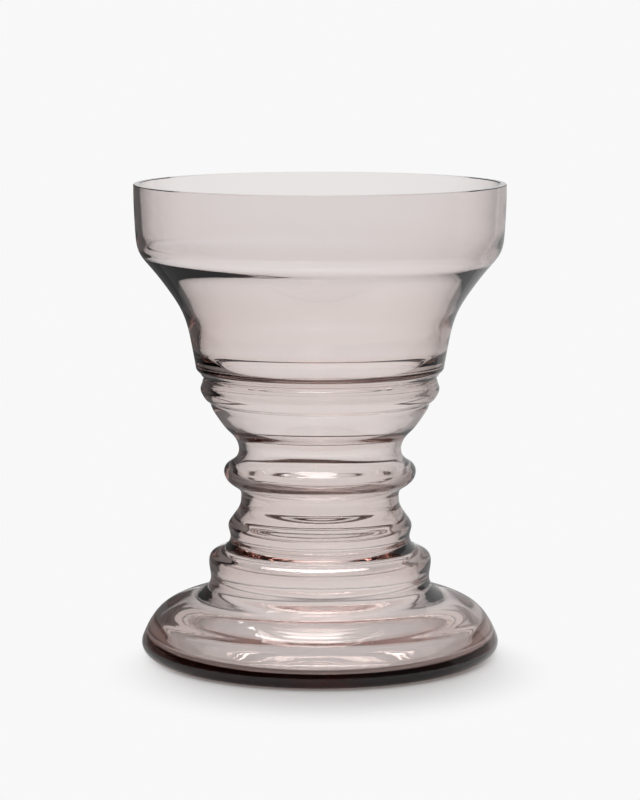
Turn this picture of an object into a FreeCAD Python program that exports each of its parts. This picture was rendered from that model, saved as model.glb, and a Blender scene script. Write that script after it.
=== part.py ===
"""Hyacinth forcing vase in pale smoky pink glass.

The vase is one blown wall of glass with a cut rim, a flared collar and cup for the bulb, a
narrow throat with rings for the roots, and a wide hollow foot with a thick base. The wall is
built as glass sections that meet face to face at flat seams, each a closed solid of its own.
Lengths are in millimetres. Z is up, and the origin is where the vase's axis meets the table.
"""
import FreeCAD, Part
import math
import os

V = FreeCAD.Vector

# Widest place of the base, and how far the resting ring and the base's head lie inside it
heel_radius = 64.85
rest_inset = 3.25
base_head_inset = 1.45
rest_radius = heel_radius - rest_inset
base_head_radius = heel_radius - base_head_inset

# Ring that the vase stands on, and the thick glass under the water
rest_ring_width = 3.0
kick_height = 0.8
base_thickness = 3.0
floor_corner_width = 6.0

# Outer radii where the wall turns, from the foot's neck up
foot_neck_radius = 39.7
lower_ring_radius = 40.3
notch_radius = 32.5
neck_ring_radius = 33.2
neck_radius = 28.6
bead_radius = 34.75
throat_radius = 29.4
cup_ring_radius = 43.1
crease_radius = 41.2
curl_radius = 44.8
collar_foot_radius = 65.3
rim_radius = 66.65

# How far each turn lies above the one below it
heel_rise = 4.2
base_head_rise = 3.8
foot_neck_rise = 19.0
lower_ring_rise = 5.8
notch_rise = 9.5
neck_ring_rise = 4.3
neck_rise = 9.7
bead_rise = 9.7
throat_rise = 9.0
cup_ring_rise = 21.3
crease_rise = 4.1
curl_rise = 4.0
collar_foot_rise = 42.8
rim_rise = 22.8

# Glass at each turn, measured level from the outside to the inside
base_head_wall = 3.8
foot_neck_wall = 3.6
lower_ring_wall = 4.2
notch_wall = 3.6
neck_ring_wall = 4.4
neck_wall = 3.4
bead_wall = 3.7
throat_wall = 2.8
cup_ring_wall = 3.9
crease_wall = 3.2
curl_wall = 5.0
collar_foot_wall = 2.6
rim_wall = 2.2

# Polished edges of the cut rim
rim_bevel = 0.3

# Shape of the wall between one turn and the next: share of the way from the lower radius to
# the upper one, and share of the rise
outer_shares = {
    "heel": [(0.71, 0.29)],
    "base_head": [(0.31, 0.40)],
    "foot_neck": [(0.12, 0.25), (0.25, 0.41), (0.44, 0.53), (0.65, 0.62), (0.86, 0.74),
                  (0.97, 0.87)],
    "lower_ring": [],
    "notch": [(0.07, 0.27), (0.45, 0.44), (0.85, 0.66)],
    "neck_ring": [],
    "neck": [(0.32, 0.27), (0.67, 0.51), (0.94, 0.77)],
    "bead": [(0.04, 0.27), (0.31, 0.45), (0.75, 0.65), (0.96, 0.86)],
    "throat": [(0.14, 0.24), (0.48, 0.39), (0.87, 0.60)],
    "cup_ring": [(0.04, 0.09), (0.13, 0.19), (0.34, 0.33), (0.59, 0.55), (0.70, 0.67),
                 (0.75, 0.75), (0.78, 0.78), (0.86, 0.82), (0.92, 0.87), (0.98, 0.94)],
    "crease": [(0.20, 0.35), (0.38, 0.63), (0.57, 0.85)],
    "curl": [(0.36, 0.17), (0.53, 0.36), (0.77, 0.60), (0.96, 0.83)],
    "collar_foot": [(0.01, 0.03), (0.06, 0.16), (0.10, 0.26), (0.14, 0.34), (0.22, 0.45),
                    (0.33, 0.55), (0.47, 0.65), (0.64, 0.76), (0.83, 0.87), (0.93, 0.93)],
    "rim": [(0.50, 0.18), (0.74, 0.41), (0.96, 0.74)],
}
inner_shares = {
    "foot_neck": [(0.14, 0.30), (0.42, 0.48), (0.69, 0.60), (0.92, 0.77)],
    "lower_ring": [],
    "notch": [(0.23, 0.27), (0.58, 0.45), (1.01, 0.70)],
    "neck_ring": [],
    "neck": [(0.38, 0.29), (0.79, 0.55)],
    "bead": [(0.00, 0.28), (0.30, 0.55), (0.83, 0.83)],
    "throat": [(0.27, 0.22), (0.67, 0.45), (0.96, 0.72)],
    "cup_ring": [(0.06, 0.20), (0.33, 0.36), (0.65, 0.58), (0.86, 0.80)],
    "crease": [],
    "curl": [(0.02, 0.48)],
    "collar_foot": [(0.08, 0.07), (0.14, 0.16), (0.15, 0.27), (0.26, 0.46), (0.36, 0.56),
                    (0.49, 0.66), (0.67, 0.78), (0.83, 0.87), (0.97, 0.95)],
    "rim": [(0.50, 0.18), (0.74, 0.41), (0.96, 0.74)],
}
floor_corner_shares = (0.72, 0.18)

# Turns from the table up: name, outer radius, rise from the turn below, and glass there
turns = [
    ("heel", heel_radius, heel_rise, None),
    ("base_head", base_head_radius, base_head_rise, base_head_wall),
    ("foot_neck", foot_neck_radius, foot_neck_rise, foot_neck_wall),
    ("lower_ring", lower_ring_radius, lower_ring_rise, lower_ring_wall),
    ("notch", notch_radius, notch_rise, notch_wall),
    ("neck_ring", neck_ring_radius, neck_ring_rise, neck_ring_wall),
    ("neck", neck_radius, neck_rise, neck_wall),
    ("bead", bead_radius, bead_rise, bead_wall),
    ("throat", throat_radius, throat_rise, throat_wall),
    ("cup_ring", cup_ring_radius, cup_ring_rise, cup_ring_wall),
    ("crease", crease_radius, crease_rise, crease_wall),
    ("curl", curl_radius, curl_rise, curl_wall),
    ("collar_foot", collar_foot_radius, collar_foot_rise, collar_foot_wall),
    ("rim", rim_radius, rim_rise - rim_bevel, rim_wall),
]

# Glass sections from the base up, each from one seam to the next
sections = [
    ("foot_dome", "base_head", "foot_neck"),
    ("lower_ring", "foot_neck", "notch"),
    ("neck_ring", "notch", "neck"),
    ("throat_bead", "neck", "throat"),
    ("root_funnel", "throat", "crease"),
    ("bulb_cup", "crease", "collar_foot"),
]

OUTWARD = V(1, 0, 0)
UPWARD = V(0, 0, 1)


def flank(low, high, shares):
    """Points between two turns of the wall, at shares of the way out and of the way up."""
    return [V(low.x + out * (high.x - low.x), 0, low.z + up * (high.z - low.z)) for out, up in shares]


def outer_outline():
    """Points of the outside from the resting ring to the rim, and where each turn is among them."""
    points = [V(rest_radius, 0, 0)]
    at = {}
    for name, radius, rise, _ in turns:
        turn = V(radius, 0, points[-1].z + rise)
        points += flank(points[-1], turn, outer_shares[name])
        points.append(turn)
        at[name] = len(points) - 1
    return points, at


def inner_outline(outer, outer_at):
    """Points of the inside from the middle of the floor to the rim, and where each turn is."""
    head = outer[outer_at["base_head"]] - V(base_head_wall, 0, 0)
    corner = V(head.x - floor_corner_width, 0, base_thickness)
    points = [V(0, 0, base_thickness), corner] + flank(corner, head, [floor_corner_shares])
    points.append(head)
    at = {"base_head": len(points) - 1}
    for name, _, _, wall in turns[2:]:
        turn = outer[outer_at[name]] - V(wall, 0, 0)
        points += flank(points[-1], turn, inner_shares[name])
        points.append(turn)
        at[name] = len(points) - 1
    return points, at


def smooth_curve(points, start, end):
    """A curve through the points, timed by the distances between them, and those times."""
    times = [0.0]
    for one, other in zip(points, points[1:]):
        times.append(times[-1] + one.distanceToPoint(other))
    curve = Part.BSplineCurve()
    curve.interpolate(Points=points, Parameters=times, InitialTangent=start, FinalTangent=end,
                      Scale=False)
    return curve, times


def line(one, other):
    return Part.LineSegment(one, other).toShape()


def turned(edges):
    """The solid that a closed outline sweeps in one turn about the vase's axis."""
    face = Part.Face(Part.Wire(Part.__sortEdges__(edges)))
    solid = face.revolve(V(0, 0, 0), UPWARD, 360)
    if solid.Volume < 0:
        solid.reverse()
    return solid


class Wall:
    """The outer and inner curves of the vase, and the pieces of them between two turns."""

    def __init__(self):
        self.outer, self.outer_at = outer_outline()
        self.inner, self.inner_at = inner_outline(self.outer, self.outer_at)
        self.outer_curve, self.outer_times = smooth_curve(self.outer, OUTWARD, UPWARD)
        self.inner_curve, self.inner_times = smooth_curve(self.inner, OUTWARD, UPWARD)

    def outside(self, name):
        return self.outer[self.outer_at[name]]

    def inside(self, name):
        return self.inner[self.inner_at[name]]

    def outer_edge(self, low, high):
        first = self.outer_times[self.outer_at[low]] if low else self.outer_times[0]
        return self.outer_curve.toShape(first, self.outer_times[self.outer_at[high]])

    def inner_edge(self, low, high):
        first = self.inner_times[self.inner_at[low]] if low else self.inner_times[0]
        return self.inner_curve.toShape(first, self.inner_times[self.inner_at[high]])

    def seam(self, name):
        return line(self.outside(name), self.inside(name))


def ring_section(wall, low, high):
    """A ring of the wall between two flat seams."""
    return turned([wall.seam(low), wall.outer_edge(low, high), wall.seam(high),
                   wall.inner_edge(low, high)])


def rim_collar(wall):
    """The collar, cut flat at the rim, with both edges of the cut polished off."""
    outside = wall.outside("rim")
    inside = wall.inside("rim")
    cut_out = outside + V(-rim_bevel, 0, rim_bevel)
    cut_in = inside + V(rim_bevel, 0, rim_bevel)
    return turned([wall.seam("collar_foot"), wall.outer_edge("collar_foot", "rim"),
                   line(outside, cut_out), line(cut_out, cut_in), line(cut_in, inside),
                   wall.inner_edge("collar_foot", "rim")])


def foot_base(wall):
    """The thick base with its floor, its ground resting ring and its hollowed underside."""
    ring_out = V(rest_radius, 0, 0)
    ring_in = V(rest_radius - rest_ring_width, 0, 0)
    kick_top = V(0, 0, kick_height)
    kick_radius = (ring_in.x ** 2 + kick_height ** 2) / (2 * kick_height)
    half_angle = math.asin(ring_in.x / kick_radius) / 2
    kick_middle = V(kick_radius * math.sin(half_angle), 0,
                    kick_height - kick_radius * (1 - math.cos(half_angle)))
    underside = Part.Arc(kick_top, kick_middle, ring_in).toShape()
    return turned([underside, line(ring_in, ring_out), wall.outer_edge(None, "base_head"),
                   wall.seam("base_head"), wall.inner_edge(None, "base_head"),
                   line(wall.inner[0], kick_top)])


def main():
    os.makedirs("parts", exist_ok=True)
    wall = Wall()
    nodes = {"foot_base": foot_base(wall), "rim_collar": rim_collar(wall)}
    for name, low, high in sections:
        nodes[name] = ring_section(wall, low, high)
    for name, solid in nodes.items():
        solid.exportStep("parts/" + name + ".step")
        print(name, "valid", solid.isValid(), "volume", round(solid.Volume, 1), "mm3")
    for name in ("base_head", "foot_neck", "notch", "neck", "throat", "crease", "collar_foot"):
        seam = wall.inside(name)
        print("seam", name, "inner radius", round(seam.x, 2), "height", round(seam.z, 2))


main()
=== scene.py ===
"""Looks of the hyacinth forcing vase: one wall of pale smoky pink glass on a pale floor.

The wall is a single closed surface of revolution. Its outline is a smooth curve through the
places where the glass turns, outside and inside, with a cut rim and a ground resting ring.
Sizes of the glass are in millimetres, and those of its material and of the stage in metres.
"""
import math

import bpy
import numpy as np
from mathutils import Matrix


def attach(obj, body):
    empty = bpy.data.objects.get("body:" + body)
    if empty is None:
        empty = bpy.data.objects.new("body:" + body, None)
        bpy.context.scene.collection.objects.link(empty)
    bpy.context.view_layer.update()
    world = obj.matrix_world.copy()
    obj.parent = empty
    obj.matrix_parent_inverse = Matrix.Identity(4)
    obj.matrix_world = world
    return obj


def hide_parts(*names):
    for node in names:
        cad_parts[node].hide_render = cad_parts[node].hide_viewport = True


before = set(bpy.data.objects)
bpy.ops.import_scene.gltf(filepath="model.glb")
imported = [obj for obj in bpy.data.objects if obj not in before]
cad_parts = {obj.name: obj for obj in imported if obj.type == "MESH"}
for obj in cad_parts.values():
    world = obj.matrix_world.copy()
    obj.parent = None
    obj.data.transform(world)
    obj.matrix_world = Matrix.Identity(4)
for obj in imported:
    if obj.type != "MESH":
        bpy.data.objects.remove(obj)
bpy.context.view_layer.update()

MM = 0.001

# Outline of the glass

rest_radius = 61.6
rest_ring_width = 3.0
kick_height = 0.8
base_thickness = 3.0
floor_corner_width = 6.0
floor_corner_shares = (0.72, 0.18)
rim_bevel = 0.3

# Turns of the wall from the table up: name, outer radius, rise from the turn below, glass there
turns = [
    ("heel", 64.85, 4.2, None),
    ("base_head", 63.4, 3.8, 3.8),
    ("foot_neck", 39.7, 19.0, 3.6),
    ("lower_ring", 40.3, 5.8, 4.2),
    ("notch", 32.5, 9.5, 3.6),
    ("neck_ring", 33.2, 4.3, 4.4),
    ("neck", 28.6, 9.7, 3.4),
    ("bead", 34.75, 9.7, 3.7),
    ("throat", 29.4, 9.0, 2.8),
    ("cup_ring", 43.1, 21.3, 3.9),
    ("crease", 41.2, 4.1, 3.2),
    ("curl", 44.8, 4.0, 5.0),
    ("collar_foot", 65.3, 42.8, 2.6),
    ("rim", 66.65, 22.8 - rim_bevel, 2.2),
]

# Shape of the wall from the turn below to this one: shares of the way out and of the rise
outer_shares = {
    "heel": [(0.71, 0.29)],
    "base_head": [(0.31, 0.40)],
    "foot_neck": [(0.12, 0.25), (0.25, 0.41), (0.44, 0.53), (0.65, 0.62), (0.86, 0.74),
                  (0.97, 0.87)],
    "lower_ring": [],
    "notch": [(0.07, 0.27), (0.45, 0.44), (0.85, 0.66)],
    "neck_ring": [],
    "neck": [(0.32, 0.27), (0.67, 0.51), (0.94, 0.77)],
    "bead": [(0.04, 0.27), (0.31, 0.45), (0.75, 0.65), (0.96, 0.86)],
    "throat": [(0.14, 0.24), (0.48, 0.39), (0.87, 0.60)],
    "cup_ring": [(0.04, 0.09), (0.13, 0.19), (0.34, 0.33), (0.59, 0.55), (0.70, 0.67),
                 (0.75, 0.75), (0.78, 0.78), (0.86, 0.82), (0.92, 0.87), (0.98, 0.94)],
    "crease": [(0.20, 0.35), (0.38, 0.63), (0.57, 0.85)],
    "curl": [(0.36, 0.17), (0.53, 0.36), (0.77, 0.60), (0.96, 0.83)],
    "collar_foot": [(0.01, 0.03), (0.06, 0.16), (0.10, 0.26), (0.14, 0.34), (0.22, 0.45),
                    (0.33, 0.55), (0.47, 0.65), (0.64, 0.76), (0.83, 0.87), (0.93, 0.93)],
    "rim": [(0.50, 0.18), (0.74, 0.41), (0.96, 0.74)],
}
inner_shares = {
    "foot_neck": [(0.14, 0.30), (0.42, 0.48), (0.69, 0.60), (0.92, 0.77)],
    "lower_ring": [],
    "notch": [(0.23, 0.27), (0.58, 0.45), (1.01, 0.70)],
    "neck_ring": [],
    "neck": [(0.38, 0.29), (0.79, 0.55)],
    "bead": [(0.00, 0.28), (0.30, 0.55), (0.83, 0.83)],
    "throat": [(0.27, 0.22), (0.67, 0.45), (0.96, 0.72)],
    "cup_ring": [(0.06, 0.20), (0.33, 0.36), (0.65, 0.58), (0.86, 0.80)],
    "crease": [],
    "curl": [(0.02, 0.48)],
    "collar_foot": [(0.08, 0.07), (0.14, 0.16), (0.15, 0.27), (0.26, 0.46), (0.36, 0.56),
                    (0.49, 0.66), (0.67, 0.78), (0.83, 0.87), (0.97, 0.95)],
    "rim": [(0.50, 0.18), (0.74, 0.41), (0.96, 0.74)],
}

# Longest step along the outline, the most that it turns in a step, and points under the base
longest_step = 2.0
most_turn = math.radians(3.3)
underside_count = 16

# Places round the vase, and the angle past which an edge, such as the cut rim's, is sharp
azimuth_count = 112
sharp_angle = math.radians(33)

# Waves in the hand-blown inside: how many round the vase, size, climb in degrees for a
# millimetre of height, and start in degrees. The one with none round it makes level ridges.
waves = [(1, 0.10, 1.1, 40), (2, 0.16, -2.3, 200), (3, 0.12, 3.1, 75), (5, 0.05, -4.7, 310),
         (0, 0.16, 60, 0)]

# Radii over which the waves grow, heights over which they fall off, the share lost there, and
# heights over which the rest of them fades out
waves_grow, waves_fall, waves_lost, waves_fade = (12, 30), (60, 105), 0.9, (100, 130)

# Fold in the inside of the shoulder: height of its middle, reach up and down, depth, and the
# side where it is deepest in degrees round from X
fold_height, fold_reach, fold_depth, fold_side = 144.8, 2.2, 0.8, 200


def flank(low, high, shares):
    """Points between two turns, at shares of the way out and of the way up."""
    low, high = np.array(low), np.array(high)
    return [tuple(low + np.array(share) * (high - low)) for share in shares]


def outer_points():
    """Turning points of the outside from the resting ring to the rim, as (radius, height), and
    the turns among them by name."""
    points, at = [(rest_radius, 0.0)], {}
    for name, radius, rise, _ in turns:
        turn = (radius, points[-1][1] + rise)
        points += flank(points[-1], turn, outer_shares[name]) + [turn]
        at[name] = turn
    return points, at


def inner_points(at):
    """Turning points of the inside from the middle of the floor to the rim. Each turn lies level
    with the outside's, in by the glass there."""
    walls = {name: wall for name, _, _, wall in turns if wall}
    head = (at["base_head"][0] - walls["base_head"], at["base_head"][1])
    corner = (head[0] - floor_corner_width, base_thickness)
    points = [(0.0, base_thickness), corner] + flank(corner, head, [floor_corner_shares]) + [head]
    for name in list(walls)[1:]:
        turn = (at[name][0] - walls[name], at[name][1])
        points += flank(points[-1], turn, inner_shares[name]) + [turn]
    return points


def smooth_curve(points, start, end):
    """A cubic curve through the points, timed by the distances between them, with the given
    directions at its ends. On each stretch it is the two ends' cubic Hermite blend, and the
    directions at the inner points are solved so that the bend is continuous there."""
    points = np.array(points, float)
    gaps = np.hypot(*np.diff(points, axis=0).T)
    count = len(points)
    system, right = np.eye(count), np.zeros((count, 2))
    right[0], right[-1] = start, end
    slopes = np.diff(points, axis=0) / gaps[:, None]
    for i in range(1, count - 1):
        before, after = gaps[i - 1], gaps[i]
        system[i, i - 1:i + 2] = after, 2 * (before + after), before
        right[i] = 3 * (after * slopes[i - 1] + before * slopes[i])
    ways = np.linalg.solve(system, right)
    pieces = []
    for i, gap in enumerate(gaps):
        out, up = np.stack([ways[i], slopes[i], ways[i + 1]]).T
        bend = np.abs(np.diff(np.unwrap(np.arctan2(up, out)))).sum()
        steps = max(2, math.ceil(gap / longest_step), math.ceil(bend / most_turn))
        t = np.linspace(0, 1, steps + 1)[:-1, None]
        pieces.append((1 + 2 * t) * (1 - t) ** 2 * points[i] + t * (1 - t) ** 2 * gap * ways[i]
                      + t * t * (3 - 2 * t) * points[i + 1] - t * t * (1 - t) * gap * ways[i + 1])
    return np.vstack(pieces + [points[-1:]])


def smooth_step(value, low, high):
    """0 below low and 1 above high, and t * t * (3 - 2 * t) at the share t of the way between."""
    t = np.clip((value - low) / (high - low), 0, 1)
    return t * t * (3 - 2 * t)


def wall_outline():
    """The closed outline, from the middle of the underside round to the middle of the floor: an
    arc under the base, the resting ring, the outside, the cut rim and the inside. Each point has
    its radius and height in metres, and the shares of the waves and of the fold that it takes.
    They are on the inside alone: the waves' is a product of smooth steps, and the fold's is
    exp(-((height - fold_height) / fold_reach) ** 2)."""
    outer, at = outer_points()
    outside = smooth_curve(outer, (1, 0), (0, 1))
    inside = smooth_curve(inner_points(at), (1, 0), (0, 1))
    ring_in = rest_radius - rest_ring_width
    bow = (ring_in ** 2 + kick_height ** 2) / (2 * kick_height)
    lean = np.linspace(0, math.asin(ring_in / bow), underside_count)
    underside = np.stack([bow * np.sin(lean), kick_height - bow * (1 - np.cos(lean))], 1)
    rim_out, rim_in = outside[-1], inside[-1]
    cut = np.array([rim_out + (-rim_bevel, rim_bevel), rim_in + (rim_bevel, rim_bevel)])
    still = np.zeros(len(underside) + len(outside) + len(cut))
    radius, height = inside[::-1].T
    wavy = smooth_step(radius, *waves_grow) * (1 - waves_lost * smooth_step(height, *waves_fall))
    wavy *= 1 - smooth_step(height, *waves_fade)
    folded = np.exp(-((height - fold_height) / fold_reach) ** 2)
    points = np.vstack([underside, outside, cut, inside[::-1]]) * MM
    wavy, folded = (np.concatenate([still, share]) for share in (wavy, folded))
    return np.column_stack([points, wavy, folded])


def turned_surface(name, outline, azimuths):
    """A closed surface: the outline's radius and height carried once round Z, as the grid
    (radius * cos a, radius * sin a, height). The radius takes its share of the fold, which is
    fold_depth * cos(a - fold_side), and of the waves, each size * cos(count * a + climb * height
    + start). Both ends of the outline lie on the axis."""
    a = np.linspace(0, 2 * np.pi, azimuths, endpoint=False)
    ring = outline[1:-1]
    radius, height, wavy, folded = (ring[:, i:i + 1] for i in range(4))
    radius = radius + folded * fold_depth * MM * np.cos(a - math.radians(fold_side))
    for count, size, climb, start in waves:
        turn = np.radians(climb) * height / MM + math.radians(start)
        radius = radius + wavy * size * MM * np.cos(count * a + turn)
    grid = np.stack([radius * np.cos(a), radius * np.sin(a), height + 0 * a], -1)
    ends = np.array([(0, 0, outline[0, 1]), (0, 0, outline[-1, 1])])
    vertices = np.vstack([grid.reshape(-1, 3), ends])
    row = np.arange(azimuths)
    after = (row + 1) % azimuths
    base = np.arange(len(ring) - 1)[:, None] * azimuths
    quads = np.stack([base + row, base + after, base + azimuths + after, base + azimuths + row],
                     -1).reshape(-1, 4)
    last = (len(ring) - 1) * azimuths
    first_fan = np.stack([np.full(azimuths, len(vertices) - 2), after, row], 1)
    last_fan = np.stack([np.full(azimuths, len(vertices) - 1), last + row, last + after], 1)
    mesh = bpy.data.meshes.new(name)
    mesh.from_pydata(vertices, [], quads.tolist() + first_fan.tolist() + last_fan.tolist())
    mesh.shade_smooth()
    mesh.set_sharp_from_angle(angle=sharp_angle)
    piece = bpy.data.objects.new(name, mesh)
    bpy.context.scene.collection.objects.link(piece)
    return piece


# Shader maths

class Value:
    """A shader socket that adds Math nodes when it is used in an expression."""

    def __init__(self, tree, socket):
        self.tree, self.socket = tree, socket

    def _maths(self, operation, *values):
        return self.tree.node("ShaderNodeMath", {"operation": operation}, *values)

    def __add__(self, other):
        return self._maths("ADD", self, other)

    __radd__ = __add__

    def __sub__(self, other):
        return self._maths("SUBTRACT", self, other)

    def __rsub__(self, other):
        return self._maths("SUBTRACT", other, self)

    def __mul__(self, other):
        return self._maths("MULTIPLY", self, other)

    __rmul__ = __mul__

    def __truediv__(self, other):
        return self._maths("DIVIDE", self, other)

    def size(self):
        return self._maths("ABSOLUTE", self)

    def smooth_step(self, low, high):
        return self.tree.node("ShaderNodeMapRange", {"interpolation_type": "SMOOTHSTEP"},
                              self, low, high)


class Tree:
    """A node tree, with one method that makes every node."""

    def __init__(self, owner):
        owner.use_nodes = True
        self.nodes, self.links = owner.node_tree.nodes, owner.node_tree.links
        self.nodes.clear()

    def node(self, kind, settings=None, *values, out=0, **named):
        """A new node with its settings and with values or links in its sockets, by place or by
        name. It gives back one of the node's outputs, or the node where it has none."""
        made = self.nodes.new(kind)
        for key, value in (settings or {}).items():
            setattr(made, key, value)
        by_name = [(key.replace("_", " "), value) for key, value in named.items()]
        for key, value in list(enumerate(values)) + by_name:
            if isinstance(value, Value):
                self.links.new(value.socket, made.inputs[key])
            else:
                made.inputs[key].default_value = value
        return Value(self, made.outputs[out]) if len(made.outputs) else made

    def outputs(self, kind, *values):
        """All outputs of a new node, by name."""
        made = self.node(kind, None, *values).socket.node
        return {socket.name: Value(self, socket) for socket in made.outputs}


# Glass

# Light that a millimetre of the glass takes away, as red, green and blue
glass_takes = np.array((0.034, 0.052, 0.057))

# Density of the tint over the most that it takes away: above 1, so that no part of its colour,
# which is 1 - taken / density, is zero
tint_density = 1.25

glass_ior = 1.5

# Fine level streaks in the blown glass: how closely they lie in a metre across and up, how many
# finer layers they have, how deep they are, and heights over which they fade out above the foot
draw_scale = (14.0, 14.0, 420.0)
draw_layers = 3.0
draw_depth = 0.00003
draw_fade = (0.070, 0.025)

# Roughness of the ground ring that the vase stands on, and heights over which it fades out
ground_rough = 0.4
ground_fade = (0.0003, 0.0001)


def pink_glass():
    """Clear glass, tinted smoky pink by its depth, so that thin walls are pale and the base is
    nearly black from the side. It has fine level streaks and a ground resting ring."""
    material = bpy.data.materials.new("smoky_pink_glass")
    tree = Tree(material)
    place = tree.outputs("ShaderNodeTexCoord")["Object"]
    drawn = tree.node("ShaderNodeVectorMath", {"operation": "MULTIPLY"}, place, draw_scale)
    streaks = tree.node("ShaderNodeTexNoise", None, Vector=drawn, Scale=1.0, Detail=draw_layers)
    height = tree.outputs("ShaderNodeSeparateXYZ", place)["Z"]
    streaks = streaks * height.smooth_step(*draw_fade)
    ripple = tree.node("ShaderNodeBump", None, Strength=1.0, Distance=draw_depth, Height=streaks)
    surface = tree.node("ShaderNodeBsdfPrincipled", None, Base_Color=(1, 1, 1, 1),
                        Roughness=ground_rough * height.smooth_step(*ground_fade),
                        IOR=glass_ior, Transmission_Weight=1.0, Normal=ripple)
    most = glass_takes.max() / MM * tint_density
    colour = 1 - glass_takes / MM / most
    depth = tree.node("ShaderNodeVolumeAbsorption", None, Color=(*colour, 1), Density=most)
    tree.node("ShaderNodeOutputMaterial", None, Surface=surface, Volume=depth)
    return material


# Paper floor

# The white of the paper and of the backdrop
paper_white = 0.94

paper_half = 6.0

# Middle of the vase's shadow, distances from it over which the shadow fades out, and distances
# from the vase over which the table ends
shadow_centre = (0.003, -0.032, 0)
shadow_reach = (0.045, 0.083)
table_edge = (0.30, 0.32)

# Painted light in the vase's shadow: share of the white that the paper is given there for light in
# the glass, in place of light that the clear foot lets through to it, and how much of that is lost
# to light that the glass mirrors
shadow_lift, shadow_lift_lost = 0.6, 0.45

# How much darker the paper is for light that the glass mirrors: all round, more at the back, and
# more at the left
paper_dim, paper_dim_back, paper_dim_left = 0.4, 0.35, 0.2


def white_paper():
    """Matt white paper. Away from the vase it is as white as the backdrop. Light in the glass
    finds it paler in the vase's shadow, and light that the glass mirrors finds it darker towards
    the back and the left, up to the table's edge."""
    material = bpy.data.materials.new("white_paper")
    tree = Tree(material)
    paper = tree.node("ShaderNodeBsdfDiffuse", None, (paper_white, paper_white, paper_white, 1))
    place = tree.outputs("ShaderNodeTexCoord")["Object"]
    distance = tree.node("ShaderNodeVectorMath", {"operation": "LENGTH"}, place, out=1)
    split = tree.outputs("ShaderNodeSeparateXYZ", place)
    way_right, way_back = split["X"] / distance, split["Y"] / distance
    path = tree.outputs("ShaderNodeLightPath")
    mirrored = path["Glossy Depth"].smooth_step(0, 1)
    glassy = (path["Is Transmission Ray"] + path["Is Glossy Ray"]).smooth_step(0, 1)
    dimmed = mirrored * (paper_dim + paper_dim_back * way_back - paper_dim_left * way_right)
    white = tree.node("ShaderNodeEmission", None, (1, 1, 1, 1), paper_white * (1 - dimmed))
    gone = tree.node("ShaderNodeBsdfTransparent", None)
    from_shadow = tree.node("ShaderNodeVectorMath", {"operation": "DISTANCE"}, place,
                            shadow_centre, out=1)
    lit = from_shadow.smooth_step(*shadow_reach)
    # Painted light: the paper's emitted white is mixed into the vase's shadow for light in the
    # glass
    lit = lit + glassy * (shadow_lift - shadow_lift_lost * mirrored) * (1 - lit)
    surface = tree.node("ShaderNodeMixShader", None, lit, paper, white)
    surface = tree.node("ShaderNodeMixShader", None, mirrored * distance.smooth_step(*table_edge),
                        surface, gone)
    tree.node("ShaderNodeOutputMaterial", None, Surface=surface)
    return material


def paper_floor():
    half = paper_half
    mesh = bpy.data.meshes.new("paper_floor")
    mesh.from_pydata([(-half, -half, 0), (half, -half, 0), (half, half, 0), (-half, half, 0)], [],
                     [(0, 1, 2, 3)])
    floor = bpy.data.objects.new("paper_floor", mesh)
    bpy.context.scene.collection.objects.link(floor)
    mesh.materials.append(white_paper())


# Studio light

# Way to the soft lamp above and behind, as degrees up and degrees round from X
lamp_up, lamp_round = 46, 98

# Cosine at which the lamp's edge has faded out
lamp_spread = 0.35

# Share of the light on the paper that comes evenly from all round
even_share = 0.35

# Steps down from overhead and round in the mean over the sky
sky_rows, sky_columns = 200, 400

# The studio round the glass. Ways to its parts are shares of 1 to the right, back and up, and a
# pair of them is where a part fades in or out.
# The dark room, and how much lighter it is to the right
room_light, room_slope = 0.035, 0.03
# The backdrop as the glass mirrors it: white, paler steps down to the right, and a dim left side
window_left, window_mid, window_right = (-0.12, -0.09), (0.09, 0.11), (0.63, 0.67)
window_white, window_fall, window_end = 0.8, 0.35, 0.3
side, side_white = (-0.75, -0.5), 0.1
window_front, window_top = (0.06, 0.08), (0.51, 0.53)
# The tall soft lamp behind the vase and over it, with two bars across it
strip_low, strip_middle, strip_edge, strip_front = (0.56, 0.57), -0.04, (0.16, 0.14), (0, 0.1)
strip_light, strip_bars, bar_edge = 10.0, (0.69, 0.86), (0.03, 0.02)
# The backdrop as it is seen straight through the glass
backdrop_left, backdrop_right, backdrop_fall = (-0.45, -0.35), (0.35, 0.5), 0.5


def lamp_way():
    """Way to the soft lamp, as a unit vector."""
    up, turn = math.radians(lamp_up), math.radians(lamp_round)
    return np.array((math.cos(up) * math.cos(turn), math.cos(up) * math.sin(turn), math.sin(up)))


def lamp_share():
    """Light that the soft lamp sheds on level paper: the mean over the sky of its smooth step
    from lamp_spread to 1, weighted by the cosine."""
    fall, turn = np.meshgrid(np.linspace(0, math.pi / 2, sky_rows),
                             np.linspace(0, 2 * math.pi, sky_columns))
    ways = np.stack([np.sin(fall) * np.cos(turn), np.sin(fall) * np.sin(turn), np.cos(fall)], -1)
    weight = np.sin(fall) * np.cos(fall)
    return float((smooth_step(ways @ lamp_way(), lamp_spread, 1) * weight).sum() / weight.sum())


def mirrored_studio(x, y, z, room):
    """What the glass mirrors: the room, the backdrop and the tall lamp with its bars."""
    window = window_white * x.smooth_step(*window_left) - window_fall * x.smooth_step(*window_mid)
    window = window - window_end * x.smooth_step(*window_right) + side_white * x.smooth_step(*side)
    window = window * y.smooth_step(*window_front) * (1 - z.smooth_step(*window_top))
    strip = z.smooth_step(*strip_low) * (x - strip_middle).size().smooth_step(*strip_edge)
    strip = strip * y.smooth_step(*strip_front)
    for bar in strip_bars:
        strip = strip * (1 - (z - bar).size().smooth_step(*bar_edge))
    return room + window * (paper_white - room) + strip * strip_light


def seen_through(x, y, room):
    """What is seen straight through the glass: the backdrop, wide and even, and the room."""
    wide = x.smooth_step(*backdrop_left) * (1 - backdrop_fall * x.smooth_step(*backdrop_right))
    return room + wide * y.smooth_step(*window_front) * (paper_white - room)


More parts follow.
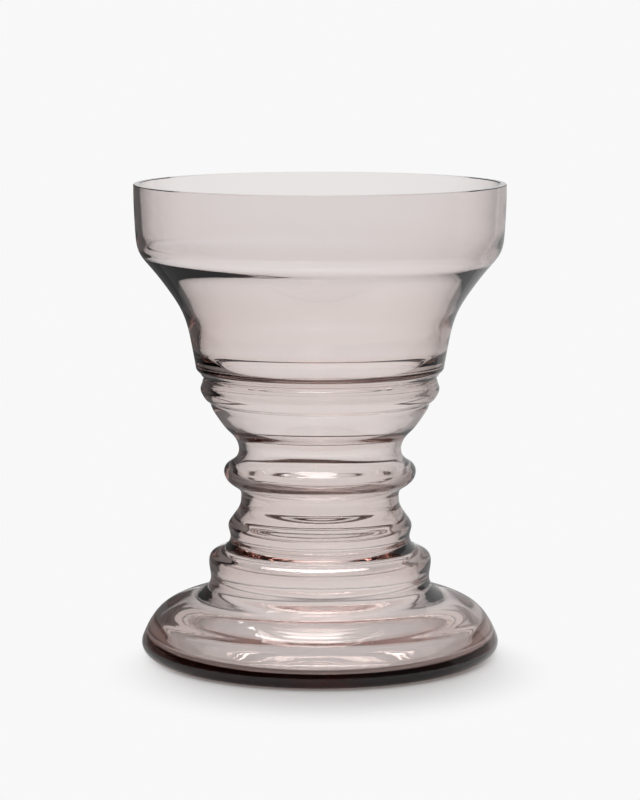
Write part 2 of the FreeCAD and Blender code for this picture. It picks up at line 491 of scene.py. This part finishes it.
def studio_light():
    """Light from all round and from a soft lamp for the paper. The glass shows the white
    backdrop straight through, and a darker studio with lamps where light is reflected in it."""
    world = bpy.data.worlds.new("studio")
    bpy.context.scene.world = world
    tree = Tree(world)
    way = tree.outputs("ShaderNodeTexCoord")["Generated"]
    split = tree.outputs("ShaderNodeSeparateXYZ", way)
    x, y, z = split["X"], split["Y"], split["Z"]
    path = tree.outputs("ShaderNodeLightPath")
    lamp_x, lamp_y, lamp_z = (float(part) for part in lamp_way())
    lamp = (x * lamp_x + y * lamp_y + z * lamp_z).smooth_step(lamp_spread, 1)
    on_paper = even_share + lamp * ((1 - even_share) / lamp_share())
    room = room_light + room_slope * x
    through = seen_through(x, y, room)
    reflected = path["Glossy Depth"].smooth_step(0, 1)
    in_glass = through + reflected * (mirrored_studio(x, y, z, room) - through)
    glassy = (path["Is Transmission Ray"] + path["Is Glossy Ray"]).smooth_step(0, 1)
    glassy = glassy * (1 - path["Diffuse Depth"].smooth_step(0, 1))
    strength = on_paper + glassy * (in_glass - on_paper)
    strength = strength + path["Is Camera Ray"] * (paper_white - strength)
    background = tree.node("ShaderNodeBackground", None, (1, 1, 1, 1), strength)
    tree.node("ShaderNodeOutputWorld", None, background)


# Camera

# Distance in front of the vase, height, degrees that it is tipped down, focal length and height
# of the picture in pixels, and height of the film in millimetres
camera_distance, camera_height, camera_tip = 1.0285, 0.2363, 8.0
focal_pixels, picture_pixels, film_height = 2877.0, 800, 36.0

# Most times that light crosses glass, and that it is mirrored
glass_bounces, mirror_bounces = 32, 16


def long_lens_camera():
    """A long lens a metre away, a little above the rim and tipped down."""
    data = bpy.data.cameras.new("camera")
    data.sensor_fit, data.sensor_height = "VERTICAL", film_height
    data.lens = focal_pixels / picture_pixels * film_height
    camera = bpy.data.objects.new("camera", data)
    camera.location = (0, -camera_distance, camera_height)
    camera.rotation_euler = (math.radians(90 - camera_tip), 0, 0)
    bpy.context.scene.collection.objects.link(camera)
    bpy.context.scene.camera = camera


vase = turned_surface("vase_glass", wall_outline(), azimuth_count)
vase.data.materials.append(pink_glass())
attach(vase, "root")
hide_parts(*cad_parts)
paper_floor()
studio_light()
long_lens_camera()

scene = bpy.context.scene
scene.view_settings.view_transform = "Standard"
scene.cycles.max_bounces = glass_bounces
scene.cycles.transmission_bounces = glass_bounces
scene.cycles.glossy_bounces = mirror_bounces
